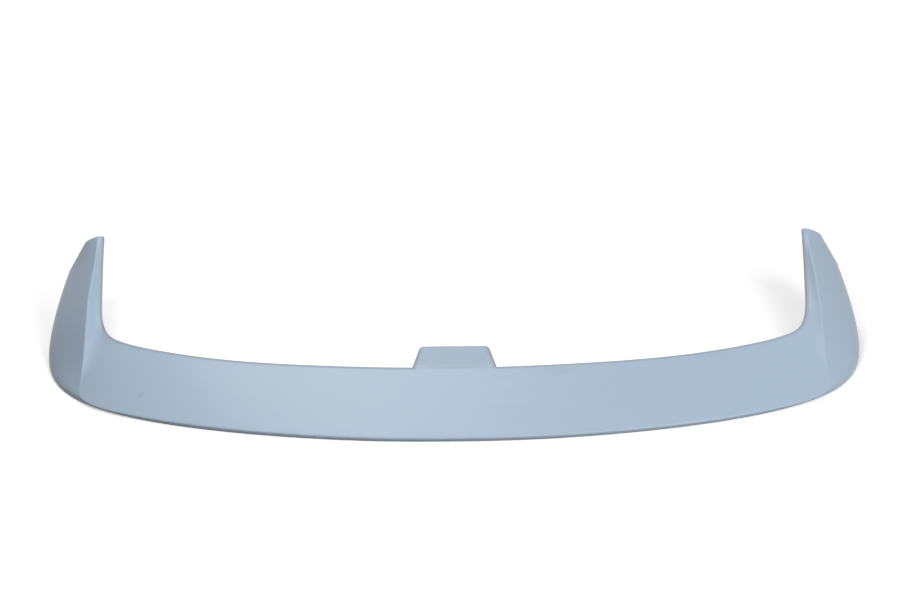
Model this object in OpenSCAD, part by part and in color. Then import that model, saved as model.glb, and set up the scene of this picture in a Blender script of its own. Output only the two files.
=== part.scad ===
// Hatch spoiler: a one-piece moulding with a curved blade, two side arms and a centre tab.
// +X runs across the car, -Y is the car's rear, +Z is up. It stands on its trailing lip.

/* [Overall] */
// Width over both arms
span = 1186; // [1000:1:1300]
// From the trailing lip to the arm tips
depth = 389; // [330:1:460]
// Height of the arm tips
height = 138; // [110:1:170]
// Wall thickness of the moulding
wall = 4; // [3:0.5:5]

/* [Edges] */
// Height of the upright trailing lip
lip_h = 7; // [6:0.5:10]
// Softening of the lip's top edge
lip_round = 2.2; // [1:0.1:3]
// Softening of the ridge along each arm
ridge_round = 6.5; // [4:0.5:9]
// Rounding of the inner edge and of the tab's edges
edge_round = 1.4; // [0.8:0.1:1.4]
// Rounding of each tip's corner at the inner edge
tip_round = 5; // [3:0.5:7]
// Rounding of each tip's corner at the outer wall
heel_round = 9; // [4:0.5:12]
// How far the arms' outer walls bulge, as a share of their height
wall_bulge = 0.55; // [0.4:0.05:0.7]
// Hollow of the surface that sweeps up from the blade into each arm
cove = 3; // [0:0.5:6]

/* [Tab] */
// Width of the tab where it leaves the blade
tab_base_w = 119; // [90:1:140]
// Width of the tab at its free end
tab_end_w = 97; // [70:1:115]
// Length of the tab
tab_l = 41; // [30:1:70]
// Slope of the tab, which follows the rear glass
tab_slope = 20; // [17:0.5:24]
// Radius of the tab's free corners
tab_corner_r = 8; // [4:0.5:12]

/* [Bonding lands] */
// Length of each raised land for the adhesive
land_l = 80; // [50:5:90]
// Width of each land
land_w = 18; // [12:1:24]
// How far a land stands below the wall
land_h = 1.5; // [1:0.25:2.5]

/* [Hidden] */

// Each rail is a smooth curve drawn by ten control points, from the middle to the right tip.
// The inner edge, beside the rear glass
INNER = [
    [0, 129, 45], [180, 137, 47], [322, 154, 48], [425, 178, 54], [467, 193, 57],
    [498, 208, 61], [509, 241, 72], [512, 284, 88], [517, 337, 110], [520, 389, 138]
];
// The lip's top edge, which becomes the ridge of the arm
RIDGE = [
    [0, 0, lip_h], [124, 2, lip_h], [296, 26, lip_h], [449, 69, lip_h], [536, 117, 5],
    [528, 155, 20], [528, 221, 74], [531, 282, 98], [527, 334, 118], [530, 387, 138]
];
// The foot: the lip's lower edge, which becomes the lower edge of the arm's outer wall
FOOT = [
    [0, 0, 0], [124, 2, 0], [296, 26, 0], [449, 69, 0], [547, 131, 0],
    [584, 202, 0], [596, 265, 13], [586, 332, 55], [576, 374, 80], [551, 389, 123]
];
drawn_size = [1186, 389, 138];
size_scale = [span / drawn_size.x, depth / drawn_size.y, height / drawn_size.z];
last = len(INNER) - 1;
kink = last - 1;

// Stations along a half, closer together at the tip's rounded corner
steps = 6;
tip_steps = [0.45, 0.7, 0.87, 0.96, 1];
tip_start = last - 0.34;
stations = concat(
    [for (i = [0:floor(steps * tip_start)]) i / steps],
    [for (s = tip_steps) mix(tip_start, last, s)]
);
// Where the ridge starts to leave the lip, and where it has its full softness
ridge_start = 3.2;
ridge_full = 5.2;
// Where the surface starts to hollow towards the arm, has its full hollow, and loses it again
cove_start = 4;
cove_full = 6;
cove_end = 7;
// Points along a skin's top, its softened ridge and its outer wall
top_cuts = 6;
fillet_cuts = 4;
wall_cuts = 6;
// The inner skin's ridge is never sharper than this, and never takes more than this share of a section
least_soft = 0.6;
most_share = 0.45;

function unit(v) = v / norm(v);
function mix(a, b, k) = a + (b - a) * k;
function mirrored(p) = [-p.x, p.y, p.z];
function bezier(a, b, c, k) = mix(mix(a, b, k), mix(b, c, k), k);
function ramp(t, from, to) =
    let (k = min(max((t - from) / (to - from), 0), 1)) k * k * (3 - 2 * k);

// Uniform cubic B-spline through a rail's control points, level across the middle of the car
function control(rail, i, end) =
    i < 0 ? mirrored(rail[1]) :
    i > end ? 2 * rail[end] - rail[end - 1] :
    rail[i];
function spline(rail, t, end) =
    let (i = min(floor(t), end - 1), f = t - i, g = 1 - f)
    (control(rail, i - 1, end) * pow(g, 3)
        + control(rail, i, end) * (3 * pow(f, 3) - 6 * pow(f, 2) + 4)
        + control(rail, i + 1, end) * (3 * pow(g, 3) - 6 * pow(g, 2) + 4)
        + control(rail, i + 2, end) * pow(f, 3)) / 6;
function scaled(p) = [p.x * size_scale.x, p.y * size_scale.y, p.z * size_scale.z];
// The foot is smooth up to the kink, and the arm's end is cut straight from there to the tip
function drawn(rail, t) =
    rail == FOOT && t > kink ? mix(FOOT[kink], FOOT[last], t - kink) :
    rail == FOOT ? spline(FOOT, t, kink) :
    spline(rail, t, last);
function at(rail, t) = scaled(t < 0 ? mirrored(drawn(rail, -t)) : drawn(rail, t));
function along(rail, t) =
    let (d = 0.02) unit(at(rail, min(t + d, last)) - at(rail, min(t, last - d) - d));
// Outward normal of a surface that leaves the rail in the direction "way"
function outward(rail, t, way) = unit(cross(unit(way), along(rail, t)));

// The skin's three corner points at a station, set in from the outside by "inset"
function top_control(i, r, t) =
    let (share = ramp(t, cove_start, cove_full) - ramp(t, cove_end, last))
    (i + r) / 2 - [0, 0, cove * share];
function wall_control(r, f) = [f.x, f.y, mix(f.z, r.z, wall_bulge)];
function corners(t, inset) =
    let (
        i = at(INNER, t), r = at(RIDGE, t), f = at(FOOT, t),
        n_i = outward(INNER, t, top_control(i, r, t) - i),
        n_top = outward(RIDGE, t, r - top_control(i, r, t)),
        n_wall = outward(RIDGE, t, wall_control(r, f) - r),
        n_foot = outward(FOOT, t, [0, 0, -1])
    )
    [
        i - n_i * inset,
        r - (n_top + n_wall) * inset / (1 + n_top * n_wall),
        f - n_foot * inset,
        n_i,
        sqrt((1 - n_top * n_wall) / (1 + n_top * n_wall))
    ];

// The tip's corners are rounded by drawing a rail's edge in over the last stretch, "radius" long
function tip_inset(rail, t, radius) =
    let (k = max(1 - norm(at(rail, last) - at(rail, t)) / radius, 0))
    radius * (1 - sqrt(1 - k * k));

// One skin's points at a station: rounded inner edge, top, softened ridge and outer wall
function chain(t, inset) =
    let (
        c = corners(t, inset),
        r = c[1], f = c[2], n = c[3],
        way = unit(r - c[0]),
        i = c[0] + way * tip_inset(INNER, t, tip_round),
        side = inset == 0 ? -1 : 1,
        fillet = mix(lip_round, ridge_round, ramp(t, ridge_start, ridge_full)),
        soft = min(max(fillet - inset * c[4], least_soft), norm(r - i) * most_share),
        m = top_control(i, r, t),
        w = wall_control(r, f),
        k_edge = edge_round / norm(r - i),
        k_top = 1 - soft / norm(r - i),
        k_wall = min(soft / norm(w - r) / 2, 0.5),
        k_foot = 1 - tip_inset(FOOT, t, heel_round) / norm(f - w) / 2,
        a = bezier(i, m, r, k_top),
        b = bezier(r, w, f, k_wall)
    )
    concat(
        [i + n * side * edge_round, i + (way + n * side) * edge_round * (1 - cos(45))],
        [for (j = [0:top_cuts]) bezier(i, m, r, mix(k_edge, k_top, j / top_cuts))],
        [for (j = [1:fillet_cuts - 1]) bezier(a, r, b, j / fillet_cuts)],
        [for (j = [0:wall_cuts]) bezier(r, w, f, mix(k_wall, k_foot, j / wall_cuts))]
    );

// A closed ring around the wall: the outer skin, then the inner one back again
function reversed(list) = [for (i = [len(list) - 1:-1:0]) list[i]];
function ring(t) = concat(chain(t, 0), reversed(chain(t, wall)));
right_rings = [for (t = stations) ring(t)];
left_rings = [for (i = [len(stations) - 1:-1:1]) [for (p = right_rings[i]) mirrored(p)]];
rings = concat(left_rings, right_rings);
ring_points = len(rings[0]);
reach_y = [for (r = right_rings) each [for (p = r) p.y]];
middle_y = (min(reach_y) + max(reach_y)) / 2;

// The moulded shell, lofted through the rings and closed at both tips
module shell() {
    half = ring_points / 2;
    final = len(rings) - 1;
    function id(i, j) = i * ring_points + j % ring_points;
    // Each four-sided patch is two triangles, split the opposite way on the left half
    sides = [
        for (i = [0:final - 1], j = [0:ring_points - 1])
            let (a = id(i, j), b = id(i + 1, j), c = id(i + 1, j + 1), d = id(i, j + 1))
            each i < final / 2 ? [[a, b, d], [b, c, d]] : [[a, b, c], [a, c, d]]
    ];
    ends = [
        for (j = [0:half - 2])
            let (k = ring_points - 1 - j)
            each [
                [id(0, j), id(0, j + 1), id(0, k)],
                [id(0, j + 1), id(0, k - 1), id(0, k)],
                [id(final, j), id(final, k), id(final, j + 1)],
                [id(final, j + 1), id(final, k), id(final, k - 1)]
            ]
    ];
    polyhedron([for (r = rings) each r], concat(sides, ends));
}

// The tab's outline, flat and set in all round: two slanted sides and two rounded free corners
function tab_outline(inset) =
    let (
        root = 8, // how far it runs back into the blade
        corner_cuts = 6,
        lean = atan((tab_base_w - tab_end_w) / 2 / tab_l),
        turn = 90 - lean,
        arc_x = tab_end_w / 2 - tab_corner_r * tan(turn / 2),
        arc_y = tab_l - tab_corner_r,
        base_x = tab_base_w / 2 - inset / cos(lean),
        arc = [
            for (i = [0:corner_cuts])
                let (a = 90 - turn * i / corner_cuts)
                [arc_x, arc_y] + (tab_corner_r - inset) * [cos(a), sin(a)]
        ],
        right = concat(arc, [[base_x, 0], [base_x, -root]])
    )
    concat(right, [for (p = reversed(right)) [-p.x, p.y]]);

// The tab is lofted through its outline at each level, set in to round its edges
module tab() {
    // It starts a hair below the blade's edge, so that the two join cleanly
    sink = 0.15;
    turns = [0, 45, 90];
    upper = [for (a = turns) [edge_round * (1 - sin(a)), -edge_round * (1 - cos(a))]];
    levels = concat(upper, [for (l = reversed(upper)) [l[0], -wall - l[1]]]);
    outlines = [for (l = levels) [for (p = tab_outline(l[0])) [p.x, p.y, l[1]]]];
    count = len(outlines[0]);
    sides = [
        for (i = [0:len(levels) - 2], j = [0:count - 1])
            let (a = i * count, b = a + count, k = (j + 1) % count)
            [a + j, b + j, b + k, a + k]
    ];
    top = [for (j = [0:count - 1]) j];
    bottom = [for (j = [count - 1:-1:0]) (len(levels) - 1) * count + j];
    translate(at(INNER, 0) - [0, 0, sink])
        rotate([tab_slope, 0, 0])
            polyhedron([for (o = outlines) each o], concat(sides, [top, bottom]));
}

// A flat land under the blade, at a station and just in from the inner edge
module land(t) {
    bite = 1.5; // how far it goes into the wall
    edge_gap = 7;
    i = at(INNER, abs(t));
    way = along(INNER, abs(t));
    up = outward(INNER, abs(t), at(RIDGE, abs(t)) - i);
    across = cross(way, up);
    place = i + across * (edge_gap + land_w / 2) - up * (wall + land_h);
    mirror([t < 0 ? 1 : 0, 0, 0])
        multmatrix([
            [way.x, across.x, up.x, place.x],
            [way.y, across.y, up.y, place.y],
            [way.z, across.z, up.z, place.z]
        ])
            translate([-land_l / 2, -land_w / 2, 0])
                cube([land_l, land_w, land_h + bite]);
}

module spoiler() {
    color([0.63, 0.71, 0.78])
        translate([0, -middle_y, 0]) {
            shell();
            tab();
            for (t = [-2.6, -1.4, 0, 1.4, 2.6]) land(t);
        }
}

spoiler();
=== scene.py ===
import math

import bpy
import numpy as np
from mathutils import Matrix, Vector


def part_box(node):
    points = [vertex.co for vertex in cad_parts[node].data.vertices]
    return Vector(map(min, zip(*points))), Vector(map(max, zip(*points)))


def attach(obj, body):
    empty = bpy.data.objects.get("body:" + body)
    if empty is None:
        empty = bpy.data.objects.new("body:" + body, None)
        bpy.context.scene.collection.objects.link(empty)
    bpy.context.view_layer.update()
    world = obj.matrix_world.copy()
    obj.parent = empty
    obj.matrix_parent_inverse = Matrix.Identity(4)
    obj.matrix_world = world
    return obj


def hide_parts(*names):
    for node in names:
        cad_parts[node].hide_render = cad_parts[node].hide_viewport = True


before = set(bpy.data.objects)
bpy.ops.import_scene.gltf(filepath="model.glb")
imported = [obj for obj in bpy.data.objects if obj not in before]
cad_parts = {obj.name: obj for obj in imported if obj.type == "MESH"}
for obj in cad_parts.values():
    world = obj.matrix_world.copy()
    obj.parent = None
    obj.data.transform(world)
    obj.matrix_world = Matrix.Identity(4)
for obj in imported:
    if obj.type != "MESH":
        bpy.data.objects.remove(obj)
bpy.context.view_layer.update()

# A one-piece hatch spoiler in bare primer, standing on its trailing lip on a plain pale floor.
# The moulding is drawn in millimetres, +X across the car, -Y to its rear and +Z up, and ends in metres.

# Sizes of the moulding, in millimetres, but the outer walls' bulge as a share of their height, and
# the tab's slope in degrees
WALL = 4.0
LIP_HEIGHT = 7.0
LIP_ROUND = 2.2
# The lip's lower edge tucks under by this much, and less and less where the arm begins
LIP_TUCK = 3.8
RIDGE_ROUND = 2.4
TIP_ROUND = 5.0
HEEL_ROUND = 9.0
WALL_BULGE = 0.55
COVE = 1.5
RIM_ROUND = 1.3
TAB_BASE_WIDTH = 119.0
TAB_END_WIDTH = 97.0
TAB_LENGTH = 41.0
TAB_SLOPE = 20.0
TAB_CORNER_ROUND = 8.0
TAB_FOLD_LENGTH = 9.0
LAND_LENGTH = 80.0
LAND_WIDTH = 18.0
LAND_HEIGHT = 1.5
LAND_GAP = 7.0
LAND_DRAFT = 1.0
# The stations at the middle of the bonding lands, which the left half mirrors
LAND_PLACES = (0.0, 1.4, 2.6)

# Each rail is a smooth curve drawn by ten control points, from the middle to the right tip, and a
# station is a place along all three, counted in control points.
# The inner edge, beside the rear glass
INNER = np.array([
    (0, 129, 45), (180, 137, 47), (322, 154, 48), (425, 178, 54), (467, 193, 57),
    (498, 208, 61), (509, 241, 72), (512, 284, 88), (517, 337, 110), (520, 389, 138),
], float)
# The lip's top edge, which becomes the ridge of the arm
RIDGE = np.array([
    (0, 0, LIP_HEIGHT), (124, 2, LIP_HEIGHT), (296, 26, LIP_HEIGHT), (449, 69, LIP_HEIGHT),
    (536, 117, 5), (528, 155, 20), (528, 221, 74), (531, 282, 98), (527, 334, 118), (530, 387, 138),
], float)
# The foot: the lip's lower edge, which becomes the lower edge of the arm's outer wall
FOOT = np.array([
    (0, 0, 0), (124, 2, 0), (296, 26, 0), (449, 69, 0), (547, 131, 0),
    (584, 202, 0), (596, 265, 13), (586, 332, 55), (576, 374, 80), (551, 389, 123),
], float)
LAST = len(INNER) - 1
KINK = LAST - 1
MIRROR = np.array([-1.0, 1.0, 1.0])
DOWN = np.array([0, 0, -1.0])
# Stations between which the lip turns into the arm's ridge, and the top takes and loses its hollow
RIDGE_START, RIDGE_FULL = 3.2, 5.2
COVE_START, COVE_FULL, COVE_END = 4.0, 6.0, 7.0
# A softened ridge is never sharper than this, and never takes more than this share of a section
LEAST_SOFT = 0.6
MOST_SHARE = 0.45

# Mesh fineness: stations in each step of the rails, and rows across, with distances in millimetres
STEPS = 24
EDGE_ROWS = (2.6, 4.2, 5.8)
LAND_ROWS = 5
LAND_CLEAR = 3.0
TOP_ROWS = 24
FILLET_ROWS = 10
WALL_ROWS = 20
TAB_ROWS = 16
TAB_ARC_ROWS = 8
TAB_FOLD_CUTS = 9
RIM_CUTS = 4
SHARP_ANGLE = math.radians(38)
# Extra stations, at these distances before the tip's rim, for the round corners there
TIP_ROWS = (0.15, 0.4, 0.8, 1.3, 1.9, 2.7, 3.7, 5.0, 6.4)
# Even stations stay clear of the special ones by this share of a step
STATION_CLEAR = 0.3
# The rows near the inner edge take at most this share of a narrow section's top
NARROW_SHARE = 0.4
# The row to which the blade's slope beside the tab is measured
TAB_SLOPE_ROW = 4
# At a sharp corner the rim's reach is divided by no less than this
LEAST_MITRE = 0.5
# Steps along a rail, in stations, that give its direction and its pace
DIRECTION_STEP = 0.02
PACE_STEP = 0.05
# The tab's root is looked for as far as this station, at this many places
TAB_SEARCH_END = 2
TAB_SEARCH_PLACES = 2001
NEAR_ZERO = 1e-9


def unit(v):
    return v / np.linalg.norm(v)


def smooth(x, start, end):
    k = np.clip((x - start) / (end - start), 0.0, 1.0)
    return k * k * (3 - 2 * k)


def control(rail, i, end):
    """A control point, with one more before the middle and one beyond the end."""
    if i < 0:
        return rail[1] * MIRROR
    if i > end:
        return 2 * rail[end] - rail[end - 1]
    return rail[i]


def spline(rail, t, end):
    """Uniform cubic B-spline, level across the middle of the car."""
    i = min(int(math.floor(t)), end - 1)
    f = t - i
    g = 1 - f
    return (
        control(rail, i - 1, end) * g ** 3
        + control(rail, i, end) * (3 * f ** 3 - 6 * f ** 2 + 4)
        + control(rail, i + 1, end) * (3 * g ** 3 - 6 * g ** 2 + 4)
        + control(rail, i + 2, end) * f ** 3
    ) / 6


def at(rail, t):
    """A rail's point. The foot is smooth up to the kink and straight from there to the tip."""
    if t < 0:
        return at(rail, -t) * MIRROR
    if rail is not FOOT:
        return spline(rail, t, LAST)
    if t > KINK:
        return FOOT[KINK] + (FOOT[LAST] - FOOT[KINK]) * (t - KINK)
    return spline(FOOT, t, KINK)


def along(rail, t):
    """A rail's direction at a station."""
    ahead = at(rail, min(t + DIRECTION_STEP, LAST))
    behind = at(rail, min(t, LAST - DIRECTION_STEP) - DIRECTION_STEP)
    return unit(ahead - behind)


def outward(rail, t, way):
    """The way out of a surface that runs along a rail, and along the given way across it."""
    return unit(np.cross(unit(way), along(rail, t)))


def bezier(start, bend, end, shares):
    """Points at some shares of the curve from start to end that the bend pulls towards itself."""
    k = np.asarray(shares, float)[:, None]
    return start * (1 - k) ** 2 + bend * 2 * k * (1 - k) + end * k ** 2


def top_control(edge, ridge, t):
    """The point that bends the top of a section, lowered where the arms have their hollow."""
    share = smooth(t, COVE_START, COVE_FULL) - smooth(t, COVE_END, LAST)
    return (edge + ridge) / 2 - np.array([0, 0, COVE * share])


def wall_control(ridge, foot):
    """The point above the foot that gives the outer wall its bulge."""
    return np.array([foot[0], foot[1], foot[2] + (ridge[2] - foot[2]) * WALL_BULGE])


def corners(t, inset):
    """A skin's inner edge, ridge and foot at a station, and how sharply it folds at the ridge."""
    edge, ridge, foot = at(INNER, t), at(RIDGE, t), at(FOOT, t)
    top_bend = top_control(edge, ridge, t)
    from_edge = outward(INNER, t, top_bend - edge)
    from_top = outward(RIDGE, t, ridge - top_bend)
    from_wall = outward(RIDGE, t, wall_control(ridge, foot) - ridge)
    from_foot = outward(FOOT, t, DOWN)
    cos_fold = from_top @ from_wall
    fold = math.sqrt((1 - cos_fold) / (1 + cos_fold))
    inset_ridge = ridge - (from_top + from_wall) * inset / (1 + cos_fold)
    return edge - from_edge * inset, inset_ridge, foot - from_foot * inset, fold


# The station where the skins end and the tip's rim begins
TIP_STATION = LAST - RIM_ROUND / np.linalg.norm(at(INNER, LAST) - at(INNER, LAST - 1))


def edge_inset(rail, t, corner_round):
    """How far a skin stops short of an edge: the rim's rounding, and a round corner at the tip."""
    left = np.linalg.norm(at(rail, TIP_STATION) - at(rail, t))
    radius = corner_round - RIM_ROUND
    k = max(1 - left / radius, 0)
    return RIM_ROUND + radius * (1 - math.sqrt(1 - k * k))


def edge_distances():
    """Rows near the inner edge, with the bonding lands' long sides on rows of their own."""
    low = LAND_GAP
    high = LAND_GAP + LAND_WIDTH
    flat = np.linspace(low + LAND_DRAFT, high - LAND_DRAFT, LAND_ROWS)
    return np.array([RIM_ROUND, *EDGE_ROWS, low, *flat, high, high + LAND_CLEAR])


EDGE_DISTANCES = edge_distances()


def section(t, inset):
    """One skin's points at a station: top, softened ridge and outer wall, down to the foot."""
    edge, ridge, foot, fold = corners(t, inset)
    width = np.linalg.norm(ridge - edge)
    arm_share = smooth(t, RIDGE_START, RIDGE_FULL)
    fillet = LIP_ROUND + (RIDGE_ROUND - LIP_ROUND) * arm_share
    soft = min(max(fillet - inset * fold, LEAST_SOFT), width * MOST_SHARE)
    top_bend = top_control(edge, ridge, t)
    wall_bend = wall_control(ridge, foot)
    foot = foot - outward(FOOT, t, DOWN) * LIP_TUCK * (1 - arm_share)
    # The rows near the edge stand closer together where the section is narrow
    start = edge_inset(INNER, t, TIP_ROUND)
    squeeze = min(1, (width - soft - start) * NARROW_SHARE / (EDGE_DISTANCES[-1] - RIM_ROUND))
    near = start + (EDGE_DISTANCES - RIM_ROUND) * squeeze
    far = np.linspace(near[-1], width - soft, TOP_ROWS + 1)[1:]
    wall_start = min(soft / np.linalg.norm(wall_bend - ridge) / 2, 0.5)
    wall_end = 1 - edge_inset(FOOT, t, HEEL_ROUND) / np.linalg.norm(foot - wall_bend) / 2
    soft_start = bezier(edge, top_bend, ridge, [1 - soft / width])[0]
    soft_end = bezier(ridge, wall_bend, foot, [wall_start])[0]
    return np.concatenate([
        bezier(edge, top_bend, ridge, np.concatenate([near, far]) / width),
        bezier(soft_start, ridge, soft_end, np.linspace(0, 1, FILLET_ROWS + 1)[1:-1]),
        bezier(ridge, wall_bend, foot, np.linspace(wall_start, wall_end, WALL_ROWS + 1)),
    ])


def tab_half_width(d):
    """Half the tab's width at a distance d out from the blade's own edge, inside the rim's rounding."""
    lean = math.atan((TAB_BASE_WIDTH - TAB_END_WIDTH) / 2 / TAB_LENGTH)
    radius = TAB_CORNER_ROUND - RIM_ROUND
    arc_x = TAB_END_WIDTH / 2 - TAB_CORNER_ROUND * math.tan(math.radians(90) / 2 - lean / 2)
    arc_d = TAB_LENGTH - TAB_CORNER_ROUND
    if d > arc_d + radius * math.sin(lean):
        return arc_x + math.sqrt(max(radius ** 2 - (d - arc_d) ** 2, 0))
    return TAB_BASE_WIDTH / 2 - RIM_ROUND / math.cos(lean) - d * math.tan(lean)


def tab_distances():
    """Distances out from the skin's edge, closer together round the tab's corners."""
    lean = math.atan((TAB_BASE_WIDTH - TAB_END_WIDTH) / 2 / TAB_LENGTH)
    radius = TAB_CORNER_ROUND - RIM_ROUND
    arc_start = TAB_LENGTH - TAB_CORNER_ROUND + radius * math.sin(lean)
    turns = np.linspace(lean, math.radians(90), TAB_ARC_ROWS + 1)
    straight = np.linspace(-RIM_ROUND, arc_start, TAB_ROWS + 1)
    arc = TAB_LENGTH - TAB_CORNER_ROUND + radius * np.sin(turns[1:])
    return np.concatenate([straight, arc])


def station_of_x(x):
    """The station where the inner edge is at x."""
    t = np.linspace(0, TAB_SEARCH_END, TAB_SEARCH_PLACES)
    return float(np.interp(x, [at(INNER, s)[0] for s in t], t))


# The station where the tab's side meets the blade's edge
TAB_STATION = station_of_x(tab_half_width(-RIM_ROUND))


def land_half(t):
    """Half a land's length, and its draft, in stations."""
    run = at(INNER, t + PACE_STEP) - at(INNER, t - PACE_STEP)
    pace = np.linalg.norm(run) / PACE_STEP / 2
    return LAND_LENGTH / 2 / pace, LAND_DRAFT / pace


def all_stations():
    """Stations of the right half: even ones, and special ones at the tab, the lands and the tip."""
    special = [0.0, TAB_STATION, TIP_STATION]
    for place in LAND_PLACES:
        half, draft = land_half(place)
        for side in (-1, 1):
            special += [place + side * half, place + side * (half - draft)]
    rim_share = (LAST - TIP_STATION) / RIM_ROUND
    special += [TIP_STATION - d * rim_share for d in TIP_ROWS]
    special = [t for t in special if t >= 0]
    even = [k / STEPS for k in range(LAST * STEPS)]
    gap = STATION_CLEAR / STEPS
    even = [t for t in even if t < TIP_STATION]
    clear = [t for t in even if min(abs(t - other) for other in special) > gap]
    return sorted(clear + special)


STATIONS = all_stations()


def land_mask():
    """1 where a bonding land stands, and 0 clear of it, for every station and row of the right half."""
    mask = np.zeros((len(STATIONS), len(EDGE_DISTANCES)))
    across = np.interp(
        EDGE_DISTANCES,
        [
            LAND_GAP,
            LAND_GAP + LAND_DRAFT,
            LAND_GAP + LAND_WIDTH - LAND_DRAFT,
            LAND_GAP + LAND_WIDTH,
        ],
        [0, 1, 1, 0],
    )
    for place in LAND_PLACES:
        half, draft = land_half(place)
        for n, t in enumerate(STATIONS):
            lengthwise = np.clip((half - abs(t - place)) / draft, 0, 1)
            mask[n] = np.maximum(mask[n], across * lengthwise)
    return mask


def both_halves(right):
    """A grid of the right half, with its mirror image before it."""
    return np.concatenate([right[:0:-1] * MIRROR, right])


def skins():
    """The outer and inner skins as grids of stations by rows, over the whole width."""
    outer = np.array([section(t, 0) for t in STATIONS])
    inner = np.array([section(t, WALL) for t in STATIONS])
    inward = inner - outer
    inward /= np.linalg.norm(inward, axis=2, keepdims=True)
    lands = np.zeros(outer.shape[:2])
    lands[:, :len(EDGE_DISTANCES)] = land_mask()
    inner = inner + inward * lands[:, :, None] * LAND_HEIGHT
    return both_halves(outer), both_halves(inner)


def tab_skins(outer, inner, columns):
    """The tab's top and underside, row by row out from the blade's edge."""
    distances = tab_distances()
    root = outer[columns, 0]
    under = inner[columns, 0]
    across = root[:, 0] / root[-1, 0]
    middle = len(columns) // 2
    way = outer[columns[middle], 0] - outer[columns[middle], TAB_SLOPE_ROW]
    start_slope = math.atan2(way[2], way[1])
    end_slope = math.radians(TAB_SLOPE)
    tops, unders = [], []
    run, rise, last = 0.0, 0.0, distances[0]
    for d in distances[1:]:
        pieces = np.linspace(last, d, TAB_FOLD_CUTS)
        slopes = start_slope + (end_slope - start_slope) * smooth(pieces, 0, TAB_FOLD_LENGTH)
        run += np.cos(slopes).mean() * (d - last)
        rise += np.sin(slopes).mean() * (d - last)
        last = d
        slope = slopes[-1]
        # The tab starts along the blade's curved edge and ends straight
        straighten = (d - distances[0]) / (TAB_LENGTH - distances[0])
        start = root + (root[middle] - root) * straighten * np.array([0, 1, 1])
        top = start + np.array([0, run, rise])
        top[:, 0] = across * tab_half_width(d)
        # The underside keeps the wall's thickness while the tab folds
        turn = np.array([
            0,
            math.sin(slope) - math.sin(start_slope),
            math.cos(start_slope) - math.cos(slope),
        ])
        drop = under - root
        below = top + drop + turn * WALL
        below[:, 0] = top[:, 0]
        tops.append(top)
        unders.append(below)
    return np.array(tops), np.array(unders)


def skin_faces(stations, rows, columns, tab_rows):
    """Four-sided faces of one skin and its side of the tab, wound to face outward."""
    faces = []
    for i in range(stations - 1):
        for j in range(rows - 1):
            a = i * rows + j
            faces.append((a, a + 1, a + rows + 1, a + rows))
    width = len(columns)
    first = stations * rows
    lines = [[c * rows for c in columns]]
    lines += [[first + s * width + c for c in range(width)] for s in range(tab_rows)]
    for low, high in zip(lines, lines[1:]):
        for c in range(width - 1):
            faces.append((low[c], low[c + 1], high[c + 1], high[c]))
    return faces


def open_edge(faces):
    """The skin's free edge as one closed loop of vertices, with the skin on its left."""
    directed = {(f[k], f[(k + 1) % 4]) for f in faces for k in range(4)}
    following = {a: b for a, b in directed if (b, a) not in directed}
    start = min(following)
    loop = [start]
    while following[loop[-1]] != start:
        loop.append(following[loop[-1]])
    assert len(loop) == len(following)
    return loop


def rim(outer, inner, loop, first):
    """Rounded rim all round the free edge: its points, and its faces between the two skins."""
    points, rings = [], []
    turns = [math.radians(90) * cut / RIM_CUTS for cut in range(1, RIM_CUTS + 1)]
    for n, v in enumerate(loop):
        before, after = outer[loop[n - 1]], outer[loop[(n + 1) % len(loop)]]
        through = outer[v] - inner[v]
        half = np.linalg.norm(through) / 2
        normal = unit(through)
        side_a = unit(np.cross(outer[v] - before, normal))
        side_b = unit(np.cross(after - outer[v], normal))
        away = unit(side_a + side_b)
        away /= max(away @ side_a, LEAST_MITRE)
        centre = (outer[v] + inner[v]) / 2
        ring = [v]
        for side, side_turns in ((1, turns), (-1, turns[::-1])):
            for turn in side_turns:
                height = (half - RIM_ROUND * (1 - math.cos(turn))) * side
                ring.append(first + len(points))
                points.append(centre + normal * height + away * RIM_ROUND * math.sin(turn))
        ring.append(v + len(outer))
        rings.append(ring)
    faces = []
    for n, a in enumerate(rings):
        b = rings[(n + 1) % len(rings)]
        for k in range(len(a) - 1):
            faces.append((b[k], a[k], a[k + 1], b[k + 1]))
    return np.array(points), faces


# The trimmed edge's greyer tone: its share at the edge, how far it fades in over the top (a fade that
# is partly painted shade darkening the top beside the edge), and the fainter share along the tab's
# root, which is painted shade on the fold there
TRIM_SHARE = 0.7
TRIM_AND_SHADE_FADE = 5.0
ROOT_SHADE_SHARE = 0.3


def trim_and_shade_marks(outer, columns):
    """How grey the outer skin is: fading in from the trimmed edge, partly as painted shade, and painted
    shade on the fold at the tab's root.
    """
    near = outer[:, :len(EDGE_DISTANCES)]
    run = np.linalg.norm(near - near[:, :1], axis=2)
    marks = np.zeros(outer.shape[:2])
    marks[:, :len(EDGE_DISTANCES)] = np.interp(run, [0, TRIM_AND_SHADE_FADE], [TRIM_SHARE, 0])
    marks[columns[1:-1]] = 0
    # Painted shade along the fold at the tab's root
    marks[columns[1:-1], 0] = ROOT_SHADE_SHARE
    return marks.ravel()


def tab_marks(tab_top):
    """How grey the tab's top is: only along its own three edges."""
    marks = np.zeros(tab_top.shape[:2])
    marks[-1] = TRIM_SHARE
    marks[:, [0, -1]] = TRIM_SHARE
    return marks.ravel()


def fit_to_cad(points):
    """Millimetres to metres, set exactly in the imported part's box."""
    low, high = (np.array(corner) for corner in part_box("spoiler"))
    own_low, own_high = points.min(0), points.max(0)
    return low + (points - own_low) / (own_high - own_low) * (high - low)


def tab_columns(stations):
    """The stations that the tab grows from, to both sides of the middle."""
    middle = stations // 2
    reach = sum(1 for t in STATIONS if 0 < t <= TAB_STATION + NEAR_ZERO)
    return list(range(middle - reach, middle + reach + 1))


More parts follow.
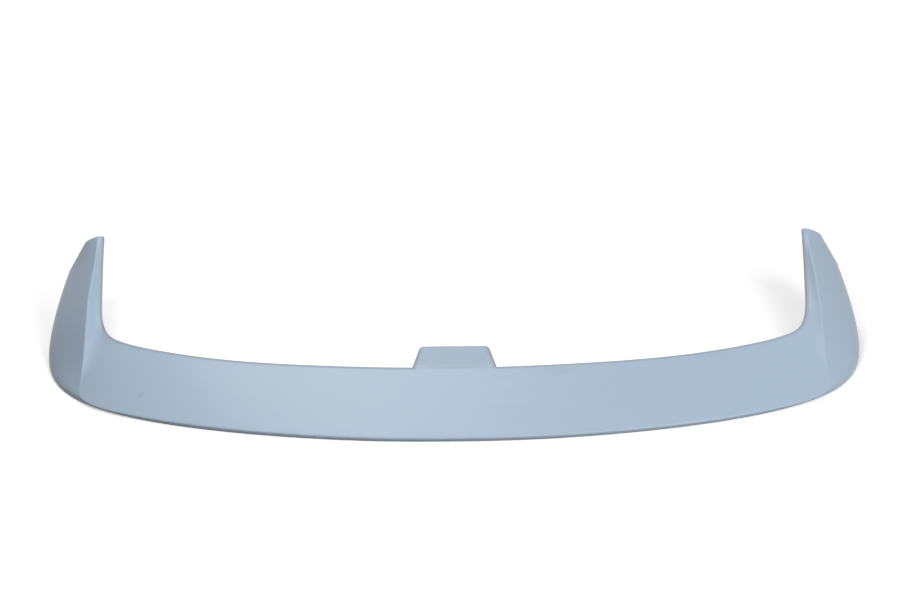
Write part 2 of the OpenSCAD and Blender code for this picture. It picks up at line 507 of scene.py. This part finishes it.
def make_moulding():
    """The whole moulding as one closed mesh, with marks for its hidden side and its trimmed rim, and
    painted shade beside that rim and at the tab's root.
    """
    outer, inner = skins()
    stations, rows = outer.shape[:2]
    columns = tab_columns(stations)
    tab_top, tab_under = tab_skins(outer, inner, columns)
    top = np.concatenate([outer.reshape(-1, 3), tab_top.reshape(-1, 3)])
    under = np.concatenate([inner.reshape(-1, 3), tab_under.reshape(-1, 3)])
    count = len(top)
    top_faces = skin_faces(stations, rows, columns, len(tab_top))
    under_faces = [tuple(v + count for v in reversed(f)) for f in top_faces]
    rim_points, rim_faces = rim(top, under, open_edge(top_faces), 2 * count)
    points = fit_to_cad(np.concatenate([top, under, rim_points]))
    greyness_and_shade = np.concatenate([
        trim_and_shade_marks(outer, columns),
        tab_marks(tab_top),
        np.zeros(count),
        np.ones(len(rim_points)),
    ])

    mesh = bpy.data.meshes.new("spoiler_moulding")
    mesh.from_pydata(points.tolist(), [], top_faces + under_faces + rim_faces)
    mesh.update()
    mesh.polygons.foreach_set("use_smooth", [True] * len(mesh.polygons))
    hidden = np.zeros(len(mesh.polygons), np.int32)
    hidden[len(top_faces):2 * len(top_faces)] = 1
    mesh.polygons.foreach_set("material_index", hidden)
    trim_and_shade = mesh.attributes.new("trim_edge_and_shade", "FLOAT", "POINT")
    trim_and_shade.data.foreach_set("value", greyness_and_shade.astype(np.float32))
    mesh.set_sharp_from_angle(angle=SHARP_ANGLE)
    piece = bpy.data.objects.new("spoiler_moulding", mesh)
    bpy.context.scene.collection.objects.link(piece)
    return piece


# Finish of the primer on the face and on the hidden back
PRIMER_IOR = 1.38
FACE_FINISH = {
    "tone": (0.383, 0.484, 0.594, 1),
    "cloud": 0.03,
    "rubbed": 0.02,
    "roughness": 0.34,
    "grain": 0.1,
}
BACK_FINISH = {
    "tone": (0.320, 0.390, 0.465, 1),
    "cloud": 0.08,
    "rubbed": 0.06,
    "roughness": 0.60,
    "grain": 0.3,
}
# The trimmed rim: its tone, how much of it shows, and how much duller it is
RIM_TONE = (0.270, 0.290, 0.330, 1)
RIM_SHARE = 0.9
RIM_DULLNESS = 0.5

# Noises of the coat: scale, detail and roughness
CLOUD_NOISE = (6.0, 3.0, 0.5)
RUB_NOISE = (34.0, 4.0, 0.6)
GRAIN_NOISE = (700.0, 2.0, 0.5)
RAGGED_NOISE = (180.0, 3.0, 0.6)
# Rubbing runs along the blade
RUB_STRETCH = (1.0, 2.2, 1.0)
RUB_DULLNESS = 1.6
GRAIN_DEPTH = 0.0002

# Marks on the face: middle and radii in metres, how much of the spot is solid, and its strength
SPECK = ((-0.438, -0.090, 0.021), (0.0060, 0.0090, 0.02), 0.1, 0.10)
SMUDGE = ((0.143, -0.072, 0.043), (0.024, 0.011, 0.03), 0.2, 0.055)
# Painted shade: the tab is darkened all over, in place of the duller light it catches
TAB_PAINTED_SHADE = ((0.0, -0.044, 0.055), (0.080, 0.026, 0.03), 0.8, 0.10)
RUBBED_PATCH = ((0.060, -0.120, 0.030), (0.060, 0.085, 0.06), 0.3, 0.13)


def new_group(name, inputs, outputs):
    """A shader node group with named inputs and outputs."""
    group = bpy.data.node_groups.new(name, "ShaderNodeTree")
    for label, kind in inputs:
        group.interface.new_socket(label, in_out="INPUT", socket_type=kind)
    for label, kind in outputs:
        group.interface.new_socket(label, in_out="OUTPUT", socket_type=kind)
    return group


def add_math(tree, operation, a, b):
    """One step of arithmetic on two values, each a socket or a number."""
    node = tree.nodes.new("ShaderNodeMath")
    node.operation = operation
    for socket, value in zip(node.inputs, (a, b)):
        if hasattr(value, "links"):
            tree.links.new(value, socket)
        else:
            socket.default_value = value
    return node.outputs[0]


def add_noise(tree, vector, scale, detail, roughness):
    """Noise about zero, from -0.5 to 0.5."""
    node = tree.nodes.new("ShaderNodeTexNoise")
    node.inputs["Scale"].default_value = scale
    node.inputs["Detail"].default_value = detail
    node.inputs["Roughness"].default_value = roughness
    tree.links.new(vector, node.inputs["Vector"])
    return add_math(tree, "SUBTRACT", node.outputs["Fac"], 0.5)


def add_vector(tree, operation, vector, values):
    """One step of arithmetic on a vector socket and three numbers."""
    node = tree.nodes.new("ShaderNodeVectorMath")
    node.operation = operation
    tree.links.new(vector, node.inputs[0])
    node.inputs[1].default_value = values
    return node.outputs["Vector"]


def add_length(tree, vector):
    node = tree.nodes.new("ShaderNodeVectorMath")
    node.operation = "LENGTH"
    tree.links.new(vector, node.inputs[0])
    return node.outputs["Value"]


def add_spot(tree, place, spot):
    """A soft-edged ellipsoid: its strength in the middle, and 0 outside it."""
    centre, radii, solid_share, strength = spot
    offset = add_vector(tree, "SUBTRACT", place, centre)
    fade = tree.nodes.new("ShaderNodeMapRange")
    fade.interpolation_type = "SMOOTHSTEP"
    fade.inputs["From Min"].default_value = 1
    fade.inputs["From Max"].default_value = solid_share
    tree.links.new(add_length(tree, add_vector(tree, "DIVIDE", offset, radii)), fade.inputs["Value"])
    return add_math(tree, "MULTIPLY", fade.outputs["Result"], strength)


def primer_coat_group():
    """Sprayed primer: cloudy tone, rubbed places and a fine spray texture, darkened where dirt and
    painted shade are given.
    """
    group = new_group(
        "primer_coat",
        [
            ("Tone", "NodeSocketColor"),
            ("Cloud", "NodeSocketFloat"),
            ("Rubbed", "NodeSocketFloat"),
            ("Base Roughness", "NodeSocketFloat"),
            ("Dirt_And_Shade", "NodeSocketFloat"),
        ],
        [
            ("Color", "NodeSocketColor"),
            ("Roughness", "NodeSocketFloat"),
            ("Height", "NodeSocketFloat"),
        ],
    )
    link = group.links.new
    given = group.nodes.new("NodeGroupInput").outputs
    result = group.nodes.new("NodeGroupOutput").inputs
    place = group.nodes.new("ShaderNodeTexCoord").outputs["Object"]
    cloud = add_noise(group, place, *CLOUD_NOISE)
    rub = add_noise(group, add_vector(group, "MULTIPLY", place, RUB_STRETCH), *RUB_NOISE)
    cloud_shift = add_math(group, "MULTIPLY", cloud, given["Cloud"])
    rub_shift = add_math(group, "MULTIPLY", rub, given["Rubbed"])
    shift = add_math(group, "ADD", cloud_shift, rub_shift)
    value = add_math(group, "SUBTRACT", add_math(group, "ADD", shift, 1), given["Dirt_And_Shade"])
    tint = group.nodes.new("ShaderNodeHueSaturation")
    link(given["Tone"], tint.inputs["Color"])
    link(value, tint.inputs["Value"])
    link(tint.outputs["Color"], result["Color"])
    rough_shift = add_math(group, "MULTIPLY", rub_shift, RUB_DULLNESS)
    link(add_math(group, "ADD", given["Base Roughness"], rough_shift), result["Roughness"])
    link(add_noise(group, place, *GRAIN_NOISE), result["Height"])
    return group


def handling_marks_and_tab_shade_group():
    """Marks from handling, and painted shade on the tab: how dark the dirt and that shade are, and how
    strongly the coat has been rubbed.
    """
    group = new_group(
        "handling_marks_and_tab_shade",
        [],
        [("Dirt_And_Shade", "NodeSocketFloat"), ("Rubbed", "NodeSocketFloat")],
    )
    result = group.nodes.new("NodeGroupOutput").inputs
    place = group.nodes.new("ShaderNodeTexCoord").outputs["Object"]
    ragged = add_math(group, "ADD", add_noise(group, place, *RAGGED_NOISE), 1)
    specks = add_math(group, "ADD", add_spot(group, place, SPECK), add_spot(group, place, SMUDGE))
    ragged_specks = add_math(group, "MULTIPLY", specks, ragged)
    # The tab's spot adds painted shade to the dirt
    dirt_and_shade = add_math(group, "ADD", ragged_specks, add_spot(group, place, TAB_PAINTED_SHADE))
    group.links.new(dirt_and_shade, result["Dirt_And_Shade"])
    group.links.new(add_spot(group, place, RUBBED_PATCH), result["Rubbed"])
    return group


def add_group(tree, group, **values):
    """A group's node, with values for its inputs."""
    node = tree.nodes.new("ShaderNodeGroup")
    node.node_tree = group
    for label, value in values.items():
        node.inputs[label.replace("_", " ")].default_value = value
    return node


def primer_material(name, coat, marks, tone, cloud, rubbed, roughness, grain):
    """Primer on one side of the moulding, greyer and duller along the trimmed rim, with painted shade
    fading in beside the rim and at the tab's root.
    """
    material = bpy.data.materials.new(name)
    material.use_nodes = True
    tree = material.node_tree
    link = tree.links.new
    shader = tree.nodes["Principled BSDF"]
    shader.inputs["IOR"].default_value = PRIMER_IOR
    layer = add_group(tree, coat, Tone=tone, Cloud=cloud, Rubbed=rubbed, Base_Roughness=roughness)
    if marks:
        mark = add_group(tree, marks)
        link(mark.outputs["Dirt_And_Shade"], layer.inputs["Dirt_And_Shade"])
        link(add_math(tree, "ADD", mark.outputs["Rubbed"], rubbed), layer.inputs["Rubbed"])
    # The trim attribute: grey along the trimmed rim, with painted shade fading in beside it and at the
    # tab's root
    trim_and_shade = tree.nodes.new("ShaderNodeAttribute")
    trim_and_shade.attribute_name = "trim_edge_and_shade"
    greyed = tree.nodes.new("ShaderNodeMix")
    greyed.data_type = "RGBA"
    greyed.inputs["B"].default_value = RIM_TONE
    link(layer.outputs["Color"], greyed.inputs["A"])
    link(add_math(tree, "MULTIPLY", trim_and_shade.outputs["Fac"], RIM_SHARE), greyed.inputs["Factor"])
    link(greyed.outputs["Result"], shader.inputs["Base Color"])
    dullness = add_math(tree, "MULTIPLY", trim_and_shade.outputs["Fac"], RIM_DULLNESS)
    link(add_math(tree, "ADD", layer.outputs["Roughness"], dullness), shader.inputs["Roughness"])
    bumped = tree.nodes.new("ShaderNodeBump")
    bumped.inputs["Strength"].default_value = grain
    bumped.inputs["Distance"].default_value = GRAIN_DEPTH
    link(layer.outputs["Height"], bumped.inputs["Height"])
    link(bumped.outputs["Normal"], shader.inputs["Normal"])
    return material


def add_light_path_switch(tree):
    """1 for camera, glossy and transmission rays, and 0 for the rays that light the object."""
    path = tree.nodes.new("ShaderNodeLightPath")
    seen = add_math(tree, "MAXIMUM", path.outputs["Is Camera Ray"], path.outputs["Is Glossy Ray"])
    return add_math(tree, "MAXIMUM", seen, path.outputs["Is Transmission Ray"])


# Floor: its size in metres, its tone for the light it throws back, and its tone as it is seen
FLOOR_SIZE = 24.0
FLOOR_TONE = (0.20, 0.20, 0.20, 1)
FLOOR_SEEN_TONE = (0.95, 0.95, 0.95, 1)
# Its own white as it is seen, where the lamps light it and far beyond them, and how far out that is
NEAR_LIFT = 0.38
FAR_LIFT = 0.95
LIT_RADIUS = 0.7
FAR_RADIUS = 2.6


def add_floor_lift(tree):
    """The floor's own white, by the distance from its middle."""
    place = tree.nodes.new("ShaderNodeTexCoord").outputs["Object"]
    rise = tree.nodes.new("ShaderNodeMapRange")
    rise.inputs["From Min"].default_value = LIT_RADIUS
    rise.inputs["From Max"].default_value = FAR_RADIUS
    rise.inputs["To Min"].default_value = NEAR_LIFT
    rise.inputs["To Max"].default_value = FAR_LIFT
    tree.links.new(add_length(tree, place), rise.inputs["Value"])
    return rise.outputs["Result"]


def floor_material():
    material = bpy.data.materials.new("pale_floor")
    material.use_nodes = True
    tree = material.node_tree
    tree.nodes.clear()
    link = tree.links.new
    matt = tree.nodes.new("ShaderNodeBsdfDiffuse")
    tone = tree.nodes.new("ShaderNodeMix")
    lift = tree.nodes.new("ShaderNodeEmission")
    both = tree.nodes.new("ShaderNodeAddShader")
    output = tree.nodes.new("ShaderNodeOutputMaterial")
    seen = add_light_path_switch(tree)
    tone.data_type = "RGBA"
    tone.inputs["A"].default_value = FLOOR_TONE
    tone.inputs["B"].default_value = FLOOR_SEEN_TONE
    link(seen, tone.inputs["Factor"])
    link(tone.outputs["Result"], matt.inputs["Color"])
    link(add_math(tree, "MULTIPLY", seen, add_floor_lift(tree)), lift.inputs["Strength"])
    link(matt.outputs[0], both.inputs[0])
    link(lift.outputs[0], both.inputs[1])
    link(both.outputs[0], output.inputs["Surface"])
    return material


def make_floor():
    mesh = bpy.data.meshes.new("floor")
    half = FLOOR_SIZE / 2
    square = [(-half, -half, 0), (half, -half, 0), (half, half, 0), (-half, half, 0)]
    mesh.from_pydata(square, [], [(0, 1, 2, 3)])
    mesh.materials.append(floor_material())
    floor = bpy.data.objects.new("floor", mesh)
    bpy.context.scene.collection.objects.link(floor)


BLACK = (0, 0, 0, 1)
WHITE = (1, 1, 1, 1)


def make_world():
    """White all round as it is seen or mirrored, and black to the rays that light the object."""
    world = bpy.data.worlds.new("studio")
    bpy.context.scene.world = world
    world.use_nodes = True
    tree = world.node_tree
    tree.nodes.clear()
    unlit = tree.nodes.new("ShaderNodeBackground")
    white = tree.nodes.new("ShaderNodeBackground")
    mix = tree.nodes.new("ShaderNodeMixShader")
    output = tree.nodes.new("ShaderNodeOutputWorld")
    unlit.inputs["Color"].default_value = BLACK
    white.inputs["Color"].default_value = WHITE
    tree.links.new(add_light_path_switch(tree), mix.inputs["Fac"])
    tree.links.new(unlit.outputs[0], mix.inputs[1])
    tree.links.new(white.outputs[0], mix.inputs[2])
    tree.links.new(mix.outputs[0], output.inputs["Surface"])


def direction(azimuth, elevation):
    """From the object towards a place, azimuth 0 being straight in front and 90 to the right."""
    a, e = math.radians(azimuth), math.radians(elevation)
    return Vector((math.sin(a) * math.cos(e), -math.cos(a) * math.cos(e), math.sin(e)))


# Lamps: azimuth and elevation in degrees, distance, width and height in metres, and power in watts
LAMPS = {
    "front_right_softbox": (32, 40, 3.0, 1.2, 1.0, 37),
    "low_right_softbox": (42, 4, 3.0, 1.0, 0.4, 27),
    "front_left_softbox": (-31, 57, 2.2, 0.8, 0.8, 10.5),
    "left_top_softbox": (-98, 60, 2.8, 0.7, 0.7, 3),
    "back_softbox": (-162, 60, 2.8, 1.1, 0.6, 19),
    "top_softbox": (0, 74, 2.2, 1.6, 1.0, 8),
}


def softbox(name, azimuth, elevation, distance, width, height, power):
    """A rectangular lamp that faces the object."""
    lamp = bpy.data.lights.new(name, "AREA")
    lamp.shape = "RECTANGLE"
    lamp.size = width
    lamp.size_y = height
    lamp.energy = power
    stand = bpy.data.objects.new(name, lamp)
    way = direction(azimuth, elevation)
    stand.location = way * distance
    stand.rotation_euler = way.to_track_quat("Z", "Y").to_euler()
    bpy.context.scene.collection.objects.link(stand)


def make_lamps():
    for name, values in LAMPS.items():
        softbox(name, *values)


# Camera: place and aim in metres, roll, and focal length in pixels of an image of this width
CAMERA_PLACE = Vector((0.0, -2.6512, 1.4252))
CAMERA_AIM = Vector((0.0094, 0.221, 0.0))
CAMERA_ROLL = math.radians(0.55)
IMAGE_WIDTH = 920
FOCAL_PX = 2090
SENSOR_WIDTH = 36.0


def make_camera():
    data = bpy.data.cameras.new("camera")
    data.sensor_width = SENSOR_WIDTH
    data.lens = SENSOR_WIDTH * FOCAL_PX / IMAGE_WIDTH
    camera = bpy.data.objects.new("camera", data)
    bpy.context.scene.collection.objects.link(camera)
    look = (CAMERA_AIM - CAMERA_PLACE).to_track_quat("-Z", "Y").to_matrix()
    turn = Matrix.Rotation(-CAMERA_ROLL, 3, "Z")
    camera.matrix_world = Matrix.Translation(CAMERA_PLACE) @ (look @ turn).to_4x4()
    bpy.context.scene.camera = camera


def main():
    make_camera()
    make_floor()
    make_world()
    make_lamps()
    coat = primer_coat_group()
    piece = make_moulding()
    marks = handling_marks_and_tab_shade_group()
    face = primer_material("primer_face", coat, marks, **FACE_FINISH)
    back = primer_material("primer_back", coat, None, **BACK_FINISH)
    piece.data.materials.append(face)
    piece.data.materials.append(back)
    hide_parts("spoiler")
    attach(piece, "root")
    bpy.context.scene.view_settings.view_transform = "Standard"


main()
